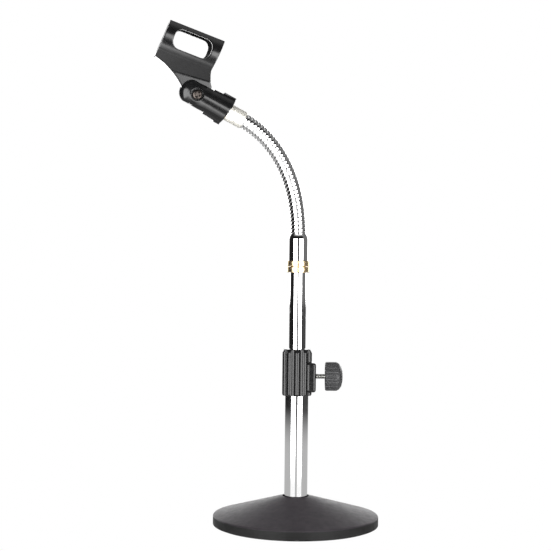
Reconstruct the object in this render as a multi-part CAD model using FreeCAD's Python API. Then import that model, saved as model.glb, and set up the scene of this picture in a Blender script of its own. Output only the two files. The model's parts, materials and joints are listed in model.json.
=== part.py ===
import FreeCAD, Part
import math
import os

os.makedirs("parts", exist_ok=True)
Vector = FreeCAD.Vector

# Desk microphone stand: weighted round base, telescopic chromed mast with a screw clamp, gooseneck, snap-in clip.
# Millimetres.  Origin on the mast axis at the table top, +Z up, the neck leans towards -X and the knob sticks out at +X.

# ---- base
BASE_R = 80.0
RIM_TOP = 11.0
RIM_EDGE = 1.2
FOOT_PROUD = 1.0
FOOT_EDGE = 0.8
APEX_Z = 30.3
LIP_R = 13.6
LIP_HOLE_R = 12.9
LIP_EDGE = 0.4
LIP_DEPTH = 6.0
SKIN = 6.0
HUB_R = 17.0
HUB_BOTTOM = 12.0
LEDGE_TOP = 17.0
CAVITY_R = 66.0
RIB_COUNT = 6
RIB_THICKNESS = 4.0
RIB_BOTTOM = 5.0
FOOT_OUTER_R = 77.0
FOOT_INNER_R = 69.0
FOOT_GROOVE = 2.0
BOLT_R = 5.0
BOLT_HOLE_R = 5.25
BOLT_HEAD_AF = 17.0
BOLT_HEAD_HEIGHT = 6.4
BOLT_HEAD_BEVEL = 2.2
BOLT_END = 30.0
WASHER_R = 12.0
WASHER_THICKNESS = 2.0

# ---- mast tubes
LOWER_TUBE_R = 11.1
LOWER_TUBE_BORE = 9.9
LOWER_TUBE_TOP = 164.0
UPPER_TUBE_R = 7.95
UPPER_TUBE_BORE = 6.75
UPPER_TUBE_BOTTOM = 102.0
COLLAR_Z = 245.0
RUN_GAP = 0.05
PLUG_HEIGHT = 18.0
END_CAP_R = 9.4
END_CAP_FLANGE = 2.0
END_CAP_PLUG = 10.0
GLIDE_LENGTH = 11.9
STOP_RING_R = 9.3
STOP_RING_DEPTH = 0.6
STOP_RING_LOW = 12.0
STOP_RING_HIGH = 13.2

# ---- clutch, clamp screw and knob
CLUTCH_BOTTOM = 126.0
CLUTCH_TOP = 171.0
CLUTCH_LOBES = 10
LOBE_R = 3.0
LOBE_CENTRE_R = 11.8
LOBE_ROOT_R = 12.4
CLUTCH_FOOT_IN = 0.9
CLUTCH_FOOT_UP = 1.4
CLUTCH_CROWN_IN = 1.8
CLUTCH_CROWN_DOWN = 3.3
CLUTCH_CAP = 5.0
CLUTCH_MOUTH_R = 8.15
BUSH_LENGTH = 14.0
BOSS_ROOT_X = 5.0
BOSS_FACE_X = 18.1
BOSS_WIDTH = 21.7
BOSS_BOTTOM = 129.7
BOSS_TOP = 158.1
BOSS_CORNER = 2.5
CLAMP_Z = 144.6
CLAMP_SCREW_R = 2.5
CLAMP_SCREW_HOLE_R = 2.7
CLAMP_PAD_R = 3.4
CLAMP_PAD_END_X = 11.0
CLAMP_HOLE_R = 3.5
NUT_AF = 8.0
NUT_POCKET_AF = 8.1
NUT_X = 12.8
NUT_THICKNESS = 3.5
KNOB_X = 27.3
KNOB_LENGTH = 16.9
KNOB_R = 13.9
KNOB_BACK_EDGE = 1.5
KNOB_GRIP = 10.4
KNOB_SHOULDER_R = 12.5
KNOB_SHOULDER = 13.5
KNOB_CROWN_R = 9.4
KNOB_CROWN = 15.6
KNOB_FACE_R = 5.0
KNOB_FACE_SINK = 0.3
KNOB_FLUTES = 20
KNOB_FLUTE_R = 1.2
KNOB_FLUTE_CENTRE_R = 14.6
KNOB_HOLE_DEPTH = 11.0

# ---- brass collars and gooseneck
COLLAR_R = 10.7
COLLAR_HEIGHT = 5.3
COLLAR_EDGE = 0.7
COLLAR_GROOVE = 0.6
PLUG_IN_TUBE = 18.0
STUD_R = 7.9
STUD_REACH = 11.0
FERRULE_R = 9.85
FERRULE_BOTTOM = 256.0
FERRULE_TOP = 282.0
FERRULE_EDGE = 0.4
FERRULE_SHOULDER = 4.5
FERRULE_BEVEL = 2.0
FERRULE_BEVEL_IN = 0.7
FERRULE_TIP_IN = 1.9
COIL_SEAT = 12.0
NECK_R = 7.35
NECK_CORE_R = 4.2
NECK_START_Z = 275.8
NECK_BEND = 63.4
NECK_BEND_LENGTH = 135.3
NECK_BEND_POWER = 1.397
NECK_COIL_END = 133.9
NECK_YAW = 13.0
NECK_JOINTS = 12
NECK_TURNS_PER_LINK = 3
NECK_GROOVE = 0.9
NECK_GROOVE_HALF = 0.8
BALL_R = 8.0
BALL_GAP = 0.05

# ---- clip
CLIP_TWIST = -7.0
CLIP_LEAN = 19.0
PIVOT_S = 185.3
HEAD_FERRULE_R = 8.45
HEAD_FERRULE_END = 154.8
HEAD_FERRULE_BEVEL = 0.9
COIL_SOCKET = 8.0
STUD_SOCKET = 10.0
HEAD_SHANK_R = 6.9
HEAD_STUD_LENGTH = 13.0
SWIVEL_END = 33.9
SWIVEL_END_R = 13.9
SWIVEL_PIVOT_R = 12.4
DOME_START = Vector(11.75, 0, 7.4)
DOME_MIDDLE = Vector(9.9, 0, 11.5)
DOME_END = Vector(5.1, 0, 15.0)
DOME_TIP = 16.3
TAB_HALF_WIDTH = 2.6
UPPER_TAB_R = 14.8
UPPER_TAB_LENGTH = 12.0
LOWER_TAB_R = 14.9
LOWER_TAB_LENGTH = 6.5
FORK_GAP = 12.6
LUG_THICKNESS = 11.4
LUG_R = 10.8
SLOT_FLOOR = 13.0
INSERT_R = 10.4
INSERT_LENGTH = 16.6
INSERT_SINK = 0.8
INSERT_MOUTH_R = 8.6
INSERT_MOUTH = 3.2
PIVOT_SCREW_R = 2.5
PIVOT_HOLE_R = 2.6
SCREW_SEAT_R = 5.8
SCREW_SEAT_Y = 9.4
SCREW_HEAD_R = 4.8
SCREW_HEAD_TOP = 11.9
RECESS_ARM = 2.4
RECESS_HALF = 0.55
RECESS_FLOOR = 10.6
SCREW_END_Y = 11.6
NUT_SEAT_Y = 8.2
PIVOT_NUT_THICKNESS = 3.2
PIVOT_WASHER_R = 8.0
BARREL_CENTRE = 39.1
BARREL_R = 20.3
BARREL_BORE = 17.2
BARREL_RELIEF = 0.5
BARREL_LEFT = -48.8
BARREL_RIGHT = 5.4
LEFT_SLOPE = 3.6
RIGHT_SLOPE = 5.6
LIP_HALF_ANGLE = 36.2
WINDOW_LEFT = -39.5
WINDOW_RIGHT = -2.6
WINDOW_BOTTOM = 32.5
WINDOW_TOP = 51.2
WINDOW_CORNER = 7.5
KEEL_TOP = Vector(0, 16.0, 26.5)
KEEL_FOOT = Vector(0, 5.6, 11.5)
STEP_Z = 15.05
STEP_SLOPE = 4.8
WEB_LEFT_TOP = Vector(-49.7, 0, 19.3)
WEB_LEFT_MIDDLE = Vector(-32.6, 0, 13.5)
WEB_LEFT_FOOT = Vector(-16.7, 0, 2.5)
WEB_RIGHT_FLARE = Vector(10.9, 0, 11.6)
WEB_RIGHT_MIDDLE = Vector(6.6, 0, 18.6)
WEB_RIGHT_WAIST = Vector(4.2, 0, 25.0)
WEB_TOP = 30.0
LUG_LEFT_TURN = 222.0
OVER = 1.0

X_AXIS = Vector(1, 0, 0)
Y_AXIS = Vector(0, 1, 0)
Z_AXIS = Vector(0, 0, 1)
ORIGIN = Vector(0, 0, 0)


def save(name, shape):
    """Check one sub-part and write it under its node name."""
    shape = shape.removeSplitter()
    print(f"{name:16s} valid {shape.isValid()}  solids {len(shape.Solids)}  volume {shape.Volume / 1000:.2f} cm3")
    shape.exportStep(f"parts/{name}.step")


def rod(radius, z_low, z_high):
    """Solid cylinder about Z."""
    return Part.makeCylinder(radius, z_high - z_low, Vector(0, 0, z_low))


def tube(outer, inner, z_low, z_high):
    """Hollow cylinder about Z."""
    return rod(outer, z_low, z_high).cut(rod(inner, z_low - 1, z_high + 1))


def block(x_low, x_high, y_low, y_high, z_low, z_high):
    """Rectangular block between two corners."""
    return Part.makeBox(x_high - x_low, y_high - y_low, z_high - z_low, Vector(x_low, y_low, z_low))


def hexagon(across_flats, z_low, z_high):
    """Hexagonal prism about Z."""
    radius = across_flats / math.sqrt(3)
    corners = [Vector(radius * math.cos(math.radians(60 * k)), radius * math.sin(math.radians(60 * k)), z_low)
               for k in range(7)]
    return Part.Face(Part.makePolygon(corners)).extrude(Vector(0, 0, z_high - z_low))


def turned(outline):
    """Solid of revolution about Z; outline is a list of (radius, height) points, or edges made by the caller."""
    if isinstance(outline[0], tuple):
        points = [Vector(radius, 0, height) for radius, height in outline]
        wire = Part.makePolygon(points + points[:1])
    else:
        wire = Part.Wire(outline)
    return Part.Face(wire).revolve(ORIGIN, Z_AXIS, 360)


def line(start, end):
    return Part.LineSegment(start, end).toShape()


def arc(start, middle, end):
    return Part.Arc(start, middle, end).toShape()


def to_x(shape, z_height):
    """Lay a shape built along Z along +X at the given height."""
    shape = shape.copy()
    shape.rotate(ORIGIN, Y_AXIS, 90)
    shape.translate(Vector(0, 0, z_height))
    return shape


def to_y(shape):
    """Lay a shape built along Z along +Y."""
    shape = shape.copy()
    shape.rotate(ORIGIN, X_AXIS, -90)
    return shape


def yawed(shape):
    """Swing everything carried by the mast round to the neck's own direction."""
    shape = shape.copy()
    shape.rotate(ORIGIN, Z_AXIS, NECK_YAW)
    return shape


# ---- the neck's centreline: its heading from vertical grows with the distance along it

def heading(distance):
    """Lean from vertical, in degrees, at a distance along the centreline."""
    share = min(max(distance / NECK_BEND_LENGTH, 0), 1)
    return NECK_BEND * share ** NECK_BEND_POWER


def neck_point(distance, step=0.1):
    """Point of the centreline in the XZ plane, before the yaw."""
    count = max(1, round(distance / step))
    piece = distance / count
    x = 0.0
    z = NECK_START_Z
    for k in range(count):
        lean = math.radians(heading((k + 0.5) * piece))
        x -= math.sin(lean) * piece
        z += math.cos(lean) * piece
    return Vector(x, 0, z)


def on_neck(shape, distance, lean=None):
    """Put a shape built along Z on the centreline, then swing it to the neck's direction."""
    shape = shape.copy()
    shape.rotate(ORIGIN, Y_AXIS, -(heading(distance) if lean is None else lean))
    shape.translate(neck_point(distance))
    return yawed(shape)


def joint_distance(number):
    """Distance along the centreline of neck joint 1 to NECK_JOINTS."""
    coil_start = FERRULE_TOP - NECK_START_Z
    return coil_start + (number - 0.5) * (NECK_COIL_END - coil_start) / NECK_JOINTS


# ---- base

def cone_height(radius, drop=0.0):
    """Height of the cone's top surface at a radius."""
    return APEX_Z - (APEX_Z - RIM_TOP) * (radius - LIP_R) / (BASE_R - LIP_R) - drop


def base_casting():
    outer = turned([(LIP_HOLE_R, APEX_Z - LIP_EDGE), (LIP_HOLE_R + LIP_EDGE, APEX_Z), (LIP_R, APEX_Z),
                    (BASE_R - RIM_EDGE, RIM_TOP), (BASE_R, RIM_TOP - RIM_EDGE), (BASE_R, FOOT_PROUD + FOOT_EDGE),
                    (BASE_R - FOOT_EDGE, FOOT_PROUD), (0, FOOT_PROUD), (0, APEX_Z - LIP_DEPTH),
                    (LIP_HOLE_R, APEX_Z - LIP_DEPTH)])
    cavity = turned([(HUB_R, 0), (CAVITY_R, 0), (CAVITY_R, cone_height(CAVITY_R, SKIN)),
                     (HUB_R, cone_height(HUB_R, SKIN))])
    for k in range(RIB_COUNT):
        rib = block(HUB_R - OVER, CAVITY_R + OVER, -RIB_THICKNESS / 2, RIB_THICKNESS / 2, RIB_BOTTOM, APEX_Z)
        rib.rotate(ORIGIN, Z_AXIS, 360 / RIB_COUNT * k)
        cavity = cavity.cut(rib)
    casting = outer.cut(cavity)
    casting = casting.cut(foot_ring())
    casting = casting.cut(rod(HUB_R, 0, HUB_BOTTOM))
    casting = casting.cut(rod(LOWER_TUBE_R, LEDGE_TOP, APEX_Z))
    return casting.cut(rod(BOLT_HOLE_R, 0, APEX_Z))


def foot_ring():
    return tube(FOOT_OUTER_R, FOOT_INNER_R, 0, FOOT_PROUD + FOOT_GROOVE)


def base_washer():
    return tube(WASHER_R, BOLT_HOLE_R, HUB_BOTTOM - WASHER_THICKNESS, HUB_BOTTOM)


def base_bolt():
    head_top = HUB_BOTTOM - WASHER_THICKNESS
    head_bottom = head_top - BOLT_HEAD_HEIGHT
    head = hexagon(BOLT_HEAD_AF, head_bottom, head_top)
    head = head.common(turned([(0, head_bottom), (BOLT_HEAD_AF / 2, head_bottom),
                               (WASHER_R, head_bottom + BOLT_HEAD_BEVEL), (WASHER_R, head_top), (0, head_top)]))
    return head.fuse(rod(BOLT_R, head_top, BOLT_END))


def tube_plug():
    return tube(LOWER_TUBE_BORE, BOLT_R, LEDGE_TOP, LEDGE_TOP + PLUG_HEIGHT)


def lower_tube():
    barrel = tube(LOWER_TUBE_R, LOWER_TUBE_BORE, LEDGE_TOP, LOWER_TUBE_TOP)
    return barrel.cut(to_x(rod(CLAMP_HOLE_R, 0, LOWER_TUBE_R + OVER), CLAMP_Z))


# ---- clutch

def clutch_housing():
    body = rod(LOBE_ROOT_R, CLUTCH_BOTTOM, CLUTCH_TOP)
    for k in range(CLUTCH_LOBES):
        turn = math.radians(360 / CLUTCH_LOBES * (k + 0.5))
        place = Vector(LOBE_CENTRE_R * math.cos(turn), LOBE_CENTRE_R * math.sin(turn), CLUTCH_BOTTOM)
        body = body.fuse(Part.makeCylinder(LOBE_R, CLUTCH_TOP - CLUTCH_BOTTOM, place))
    crest = LOBE_CENTRE_R + LOBE_R
    body = body.common(turned([(0, CLUTCH_BOTTOM), (crest - CLUTCH_FOOT_IN, CLUTCH_BOTTOM),
                               (crest, CLUTCH_BOTTOM + CLUTCH_FOOT_UP), (crest, CLUTCH_TOP - CLUTCH_CROWN_DOWN),
                               (crest - CLUTCH_CROWN_IN, CLUTCH_TOP), (0, CLUTCH_TOP)]))
    boss = block(BOSS_ROOT_X, BOSS_FACE_X, -BOSS_WIDTH / 2, BOSS_WIDTH / 2, BOSS_BOTTOM, BOSS_TOP)
    corners = [edge for edge in boss.Edges if edge.BoundBox.XLength > 1]
    body = body.fuse(boss.makeFillet(BOSS_CORNER, corners))
    body = body.cut(rod(LOWER_TUBE_R, CLUTCH_BOTTOM - OVER, CLUTCH_TOP - CLUTCH_CAP))
    body = body.cut(rod(CLUTCH_MOUTH_R, CLUTCH_TOP - CLUTCH_CAP - OVER, CLUTCH_TOP + OVER))
    nut_pocket = hexagon(NUT_POCKET_AF, BOSS_ROOT_X, NUT_X + NUT_THICKNESS)
    screw_hole = rod(CLAMP_SCREW_HOLE_R, BOSS_ROOT_X, BOSS_FACE_X + OVER)
    return body.cut(to_x(nut_pocket, CLAMP_Z)).cut(to_x(screw_hole, CLAMP_Z))


def clutch_bush():
    sleeve = tube(LOWER_TUBE_BORE, UPPER_TUBE_R + RUN_GAP, LOWER_TUBE_TOP - BUSH_LENGTH, LOWER_TUBE_TOP)
    return sleeve.fuse(tube(LOWER_TUBE_R, UPPER_TUBE_R + RUN_GAP, LOWER_TUBE_TOP, CLUTCH_TOP - CLUTCH_CAP))


def clutch_nut():
    low = NUT_X
    high = NUT_X + NUT_THICKNESS
    nut = hexagon(NUT_AF, low, high)
    return to_x(nut.cut(rod(CLAMP_SCREW_R + RUN_GAP, low - OVER, high + OVER)), CLAMP_Z)


def clamp_pad():
    return to_x(rod(CLAMP_PAD_R, UPPER_TUBE_R + RUN_GAP, CLAMP_PAD_END_X), CLAMP_Z)


def clamp_screw():
    return to_x(rod(CLAMP_SCREW_R, CLAMP_PAD_END_X + RUN_GAP, KNOB_X + KNOB_HOLE_DEPTH), CLAMP_Z)


def clamp_knob():
    face = KNOB_X + KNOB_LENGTH
    body = turned([(0, KNOB_X), (KNOB_R - KNOB_BACK_EDGE, KNOB_X), (KNOB_R, KNOB_X + KNOB_BACK_EDGE),
                   (KNOB_R, KNOB_X + KNOB_GRIP), (KNOB_SHOULDER_R, KNOB_X + KNOB_SHOULDER),
                   (KNOB_CROWN_R, KNOB_X + KNOB_CROWN), (KNOB_FACE_R, face - KNOB_FACE_SINK), (0, face)])
    for k in range(KNOB_FLUTES):
        turn = math.radians(360 / KNOB_FLUTES * k)
        place = Vector(KNOB_FLUTE_CENTRE_R * math.cos(turn), KNOB_FLUTE_CENTRE_R * math.sin(turn), KNOB_X - OVER)
        body = body.cut(Part.makeCylinder(KNOB_FLUTE_R, KNOB_GRIP + OVER, place))
    return to_x(body.cut(rod(CLAMP_SCREW_R, KNOB_X - OVER, KNOB_X + KNOB_HOLE_DEPTH)), CLAMP_Z)


# ---- sliding mast

def upper_tube():
    barrel = tube(UPPER_TUBE_R, UPPER_TUBE_BORE, UPPER_TUBE_BOTTOM, COLLAR_Z)
    return barrel.cut(tube(UPPER_TUBE_R + OVER, UPPER_TUBE_R - STOP_RING_DEPTH,
                           UPPER_TUBE_BOTTOM + STOP_RING_LOW, UPPER_TUBE_BOTTOM + STOP_RING_HIGH))


def tube_end_cap():
    flange = rod(END_CAP_R, UPPER_TUBE_BOTTOM - END_CAP_FLANGE, UPPER_TUBE_BOTTOM)
    return flange.fuse(rod(UPPER_TUBE_BORE, UPPER_TUBE_BOTTOM, UPPER_TUBE_BOTTOM + END_CAP_PLUG))


def glide_bush():
    return tube(LOWER_TUBE_BORE - RUN_GAP, UPPER_TUBE_R + RUN_GAP,
                UPPER_TUBE_BOTTOM + 2 * RUN_GAP, UPPER_TUBE_BOTTOM + GLIDE_LENGTH)


def stop_ring():
    """Snap ring in the upper tube's groove, with the gap it is opened by."""
    low = UPPER_TUBE_BOTTOM + STOP_RING_LOW
    high = UPPER_TUBE_BOTTOM + STOP_RING_HIGH
    ring = tube(STOP_RING_R, UPPER_TUBE_R - STOP_RING_DEPTH, low, high)
    return yawed(ring.cut(block(0, STOP_RING_R + OVER, -2, 2, low - OVER, high + OVER)))


def collar(low, high, bore):
    """Outline of a turned collar with a small bevel on both edges; bore 0 gives a solid one."""
    return [(bore, low), (COLLAR_R - COLLAR_EDGE, low), (COLLAR_R, low + COLLAR_EDGE),
            (COLLAR_R, high - COLLAR_EDGE), (COLLAR_R - COLLAR_EDGE, high), (bore, high)]


def top_stud():
    collar_top = COLLAR_Z + COLLAR_HEIGHT
    stud = rod(UPPER_TUBE_BORE, COLLAR_Z - PLUG_IN_TUBE, COLLAR_Z)
    stud = stud.fuse(turned(collar(COLLAR_Z, collar_top, 0)))
    return stud.fuse(rod(STUD_R, collar_top, FERRULE_BOTTOM + STUD_REACH))


def lock_ring():
    return turned(collar(COLLAR_Z + COLLAR_HEIGHT + COLLAR_GROOVE, FERRULE_BOTTOM, STUD_R))


def lower_ferrule():
    bottom = FERRULE_BOTTOM
    top = FERRULE_TOP
    body = turned([(0, bottom), (FERRULE_R - FERRULE_EDGE, bottom), (FERRULE_R, bottom + FERRULE_EDGE),
                   (FERRULE_R, top - FERRULE_SHOULDER), (FERRULE_R - FERRULE_BEVEL_IN, top - FERRULE_BEVEL),
                   (FERRULE_R - FERRULE_TIP_IN, top), (0, top)])
    return body.cut(rod(STUD_R, bottom - OVER, bottom + STUD_REACH)).cut(rod(NECK_R, top - COIL_SEAT, top + OVER))


# ---- gooseneck links: each ends in a ball face and starts in a matching cup, both centred on the joint

def link_outline(length, outer, inner, cup, dome, grooves):
    """Edges of a link's half section; the cup is about height 0 and the dome about the given length."""
    def on_ball(radius, ball, centre):
        return Vector(radius, 0, centre + math.sqrt(ball ** 2 - radius ** 2))
    middle = (outer + inner) / 2
    low_inner = on_ball(inner, cup, 0)
    low_outer = on_ball(outer, cup, 0)
    high_outer = on_ball(outer, dome, length)
    high_inner = on_ball(inner, dome, length)
    edges = [arc(low_inner, on_ball(middle, cup, 0), low_outer)]
    corners = [low_outer]
    pitch = (high_outer.z - low_outer.z) / max(grooves, 1)
    for k in range(grooves):
        centre = low_outer.z + (k + 0.5) * pitch
        corners.append(Vector(outer, 0, centre - NECK_GROOVE_HALF))
        corners.append(Vector(outer - NECK_GROOVE, 0, centre))
        corners.append(Vector(outer, 0, centre + NECK_GROOVE_HALF))
    corners.append(high_outer)
    edges += [line(start, end) for start, end in zip(corners, corners[1:])]
    edges.append(arc(high_outer, on_ball(middle, dome, length), high_inner))
    edges.append(line(high_inner, low_inner))
    return edges


def neck_link(number, core):
    """One link of the outer wire, or of the core spring inside it, between two joints."""
    start = joint_distance(number)
    end = joint_distance(number + 1)
    start_point = neck_point(start)
    chord = neck_point(end).sub(start_point)
    lean = math.degrees(math.atan2(-chord.x, chord.z))
    if core:
        edges = link_outline(chord.Length, NECK_CORE_R, 0, BALL_R + BALL_GAP, BALL_R, 0)
    else:
        edges = link_outline(chord.Length, NECK_R, NECK_CORE_R, BALL_R + BALL_GAP, BALL_R, NECK_TURNS_PER_LINK)
    return on_neck(turned(edges), start, lean)


def neck_root(core):
    """The coil's bottom end, held in the lower ferrule and ending in the first ball face."""
    centre = neck_point(joint_distance(1))
    bottom = FERRULE_TOP - COIL_SEAT
    top = centre.z + BALL_R
    body = rod(NECK_CORE_R, bottom, top) if core else tube(NECK_R, NECK_CORE_R, bottom, top)
    return yawed(body.common(Part.makeSphere(BALL_R, centre).fuse(rod(BALL_R, bottom, centre.z))))


def neck_tip(core):
    """The coil's top end, from the last joint's cup into the upper ferrule."""
    ball = Part.makeSphere(BALL_R + BALL_GAP, neck_point(joint_distance(NECK_JOINTS)))
    low = joint_distance(NECK_JOINTS) - NECK_COIL_END - OVER
    body = rod(NECK_CORE_R, low, COIL_SOCKET) if core else tube(NECK_R, NECK_CORE_R, low, COIL_SOCKET)
    return head_frame(body, NECK_COIL_END).cut(yawed(ball))


# ---- clip end; these are built along Z from the coil's end towards the clip

def head_frame(shape, distance):
    """Put a shape built along Z on the neck's straight end line, with its zero at a distance along it."""
    shape = shape.copy()
    shape.translate(Vector(0, 0, distance - NECK_BEND_LENGTH))
    return on_neck(shape, NECK_BEND_LENGTH)


def upper_ferrule():
    end = HEAD_FERRULE_END - NECK_COIL_END
    bevel = HEAD_FERRULE_BEVEL
    body = turned([(0, 0), (HEAD_FERRULE_R - bevel, 0), (HEAD_FERRULE_R, bevel), (HEAD_FERRULE_R, end - FERRULE_EDGE),
                   (HEAD_FERRULE_R - FERRULE_EDGE, end), (0, end)])
    body = body.cut(rod(NECK_R, -OVER, COIL_SOCKET)).cut(rod(HEAD_SHANK_R, STUD_SOCKET, end + OVER))
    return head_frame(body, NECK_COIL_END)


def upper_stud():
    shank = rod(HEAD_SHANK_R, NECK_COIL_END + STUD_SOCKET - HEAD_FERRULE_END, 0)
    return head_frame(shank.fuse(rod(STUD_R, 0, HEAD_STUD_LENGTH)), HEAD_FERRULE_END)


def twisted(shape):
    """Turn the clip end about the neck's tip axis, through the pivot, before the yaw."""
    lean = math.radians(NECK_BEND)
    shape = shape.copy()
    shape.rotate(neck_point(PIVOT_S), Vector(-math.sin(lean), 0, math.cos(lean)), CLIP_TWIST)
    return shape


def swivel_frame(shape):
    """From the pivot's frame, Z towards the fork's tip and Y along the pivot, to the stand's frame."""
    shape = shape.copy()
    shape.rotate(ORIGIN, Y_AXIS, -NECK_BEND)
    shape.translate(neck_point(PIVOT_S))
    return yawed(twisted(shape))


def clip_frame(shape):
    """From the pivot's frame, X along the clip's barrel and Z out of the lug, to the stand's frame."""
    shape = shape.copy()
    shape.rotate(ORIGIN, Y_AXIS, CLIP_LEAN)
    shape.translate(neck_point(PIVOT_S))
    return yawed(twisted(shape))


def swivel_base():
    tail = -SWIVEL_END
    side = [Vector(0, 0, tail), Vector(SWIVEL_END_R - FERRULE_EDGE, 0, tail),
            Vector(SWIVEL_END_R, 0, tail + FERRULE_EDGE), Vector(SWIVEL_PIVOT_R, 0, 0), DOME_START]
    edges = [line(start, end) for start, end in zip(side, side[1:])]
    edges.append(arc(DOME_START, DOME_MIDDLE, DOME_END))
    edges.append(line(DOME_END, Vector(0, 0, DOME_TIP)))
    edges.append(line(Vector(0, 0, DOME_TIP), Vector(0, 0, tail)))
    body = turned(edges)
    half = TAB_HALF_WIDTH
    body = body.fuse(block(SWIVEL_PIVOT_R, UPPER_TAB_R, -half, half, tail, tail + UPPER_TAB_LENGTH))
    body = body.fuse(block(-LOWER_TAB_R, -SWIVEL_PIVOT_R, -half, half, tail, tail + LOWER_TAB_LENGTH))
    reach = SWIVEL_END
    body = body.cut(block(-reach, reach, -FORK_GAP / 2, FORK_GAP / 2, -SLOT_FLOOR, reach))
    body = body.cut(rod(INSERT_R, tail - OVER, tail + INSERT_SINK + INSERT_LENGTH))
    body = body.cut(to_y(rod(PIVOT_HOLE_R, -reach, reach)))
    body = body.cut(to_y(rod(SCREW_SEAT_R, -reach, -SCREW_SEAT_Y)))
    return body.cut(to_y(hexagon(NUT_POCKET_AF, NUT_SEAT_Y, reach)))


def thread_insert():
    low = INSERT_SINK - SWIVEL_END
    insert = tube(INSERT_R, STUD_R + RUN_GAP, low, low + INSERT_LENGTH)
    return insert.cut(rod(INSERT_MOUTH_R, low - OVER, low + INSERT_MOUTH))


def pivot_screw():
    """Domed cross-recess screw; built along Z with the head at the bottom, then laid along Y."""
    top = -SCREW_HEAD_TOP
    seat = -SCREW_SEAT_Y
    head = turned([(0, top), (2.6, top + 0.1), (4.2, top + 0.7), (SCREW_HEAD_R, top + 1.7), (SCREW_HEAD_R, seat),
                   (0, seat)])
    arm = RECESS_ARM
    half = RECESS_HALF
    recess = block(-arm, arm, -half, half, top - OVER, -RECESS_FLOOR)
    recess = recess.fuse(block(-half, half, -arm, arm, top - OVER, -RECESS_FLOOR))
    return to_y(head.cut(recess).fuse(rod(PIVOT_SCREW_R, seat, SCREW_END_Y)))


def pivot_nut():
    high = NUT_SEAT_Y + PIVOT_NUT_THICKNESS
    return to_y(hexagon(NUT_AF, NUT_SEAT_Y, high).cut(rod(PIVOT_SCREW_R, NUT_SEAT_Y - OVER, high + OVER)))


def pivot_washers():
    inner = LUG_THICKNESS / 2 + RUN_GAP
    outer = FORK_GAP / 2
    far = to_y(tube(PIVOT_WASHER_R, PIVOT_HOLE_R, inner, outer))
    near = to_y(tube(PIVOT_WASHER_R, PIVOT_HOLE_R, -outer, -inner))
    return Part.makeCompound([far, near])


def web_face():
    """Side outline of the clip's web and lug, in the plane of the barrel's axis."""
    turn = math.radians(LUG_LEFT_TURN)
    lug_left = Vector(LUG_R * math.cos(turn), 0, LUG_R * math.sin(turn))
    lug_bottom = Vector(0, 0, -LUG_R)
    lug_right = Vector(LUG_R, 0, 0)
    left_top = Vector(WEB_LEFT_TOP.x, 0, WEB_TOP)
    right_top = Vector(WEB_RIGHT_WAIST.x, 0, WEB_TOP)
    edges = [line(left_top, WEB_LEFT_TOP), arc(WEB_LEFT_TOP, WEB_LEFT_MIDDLE, WEB_LEFT_FOOT),
             line(WEB_LEFT_FOOT, lug_left), arc(lug_left, lug_bottom, lug_right), line(lug_right, WEB_RIGHT_FLARE),
             arc(WEB_RIGHT_FLARE, WEB_RIGHT_MIDDLE, WEB_RIGHT_WAIST), line(WEB_RIGHT_WAIST, right_top),
             line(right_top, left_top)]
    return Part.Face(Part.Wire(edges))


def slab(face, half_width):
    """Extrude a face of the XZ plane to both sides of it."""
    face = face.copy()
    face.translate(Vector(0, -half_width, 0))
    return face.extrude(Vector(0, 2 * half_width, 0))


def along_barrel(shape):
    """Lay a shape built along Z along the clip barrel's axis."""
    shape = shape.copy()
    shape.rotate(ORIGIN, Y_AXIS, 90)
    shape.translate(Vector(0, 0, BARREL_CENTRE))
    return shape


def beyond_end(x_place, slope, side):
    """Everything beyond one sloping end of the clip's barrel; side is -1 for the left end and 1 for the right."""
    reach = 3 * BARREL_R
    low, high = (0, reach) if side > 0 else (-reach, 0)
    part = block(low, high, -reach, reach, -reach, reach)
    part.rotate(ORIGIN, Y_AXIS, slope)
    part.translate(Vector(x_place, 0, BARREL_CENTRE))
    return part


def clip_barrel():
    """Open C-shaped sleeve with rounded lips."""
    left = BARREL_LEFT - 3 * OVER
    length = BARREL_RIGHT + 3 * OVER - left
    barrel = along_barrel(tube(BARREL_R, BARREL_BORE, left, left + length))
    turn = math.radians(LIP_HALF_ANGLE)
    reach = 3 * BARREL_R
    mouth = Part.makePolygon([Vector(0, 0, 0), Vector(0, reach * math.sin(turn), reach * math.cos(turn)),
                              Vector(0, -reach * math.sin(turn), reach * math.cos(turn)), Vector(0, 0, 0)])
    wedge = Part.Face(mouth).extrude(Vector(length + 2 * OVER, 0, 0))
    wedge.translate(Vector(left - OVER, 0, BARREL_CENTRE))
    barrel = barrel.cut(wedge)
    lip_centre_r = (BARREL_R + BARREL_BORE) / 2
    for side in (-1, 1):
        place = Vector(left, side * lip_centre_r * math.sin(turn), BARREL_CENTRE + lip_centre_r * math.cos(turn))
        barrel = barrel.fuse(Part.makeCylinder((BARREL_R - BARREL_BORE) / 2, length, place, X_AXIS))
    barrel = barrel.cut(beyond_end(BARREL_LEFT, LEFT_SLOPE, -1))
    return barrel.cut(beyond_end(BARREL_RIGHT, RIGHT_SLOPE, 1))


def clip_keel():
    """The thick root under the barrel, above the step in the web."""
    corners = [Vector(0, -KEEL_TOP.y, KEEL_TOP.z), Vector(0, -KEEL_FOOT.y, KEEL_FOOT.z), KEEL_FOOT, KEEL_TOP]
    length = 2 * BARREL_R + BARREL_RIGHT - BARREL_LEFT
    keel = Part.Face(Part.makePolygon(corners + corners[:1])).extrude(Vector(length, 0, 0))
    keel.translate(Vector(BARREL_LEFT - BARREL_R, 0, 0))
    reach = 3 * BARREL_R
    below_step = block(-reach, reach, -reach, reach, -reach, 0)
    below_step.rotate(ORIGIN, Y_AXIS, -STEP_SLOPE)
    below_step.translate(Vector(0, 0, STEP_Z))
    return keel.common(slab(web_face(), BARREL_R)).cut(below_step)


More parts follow.
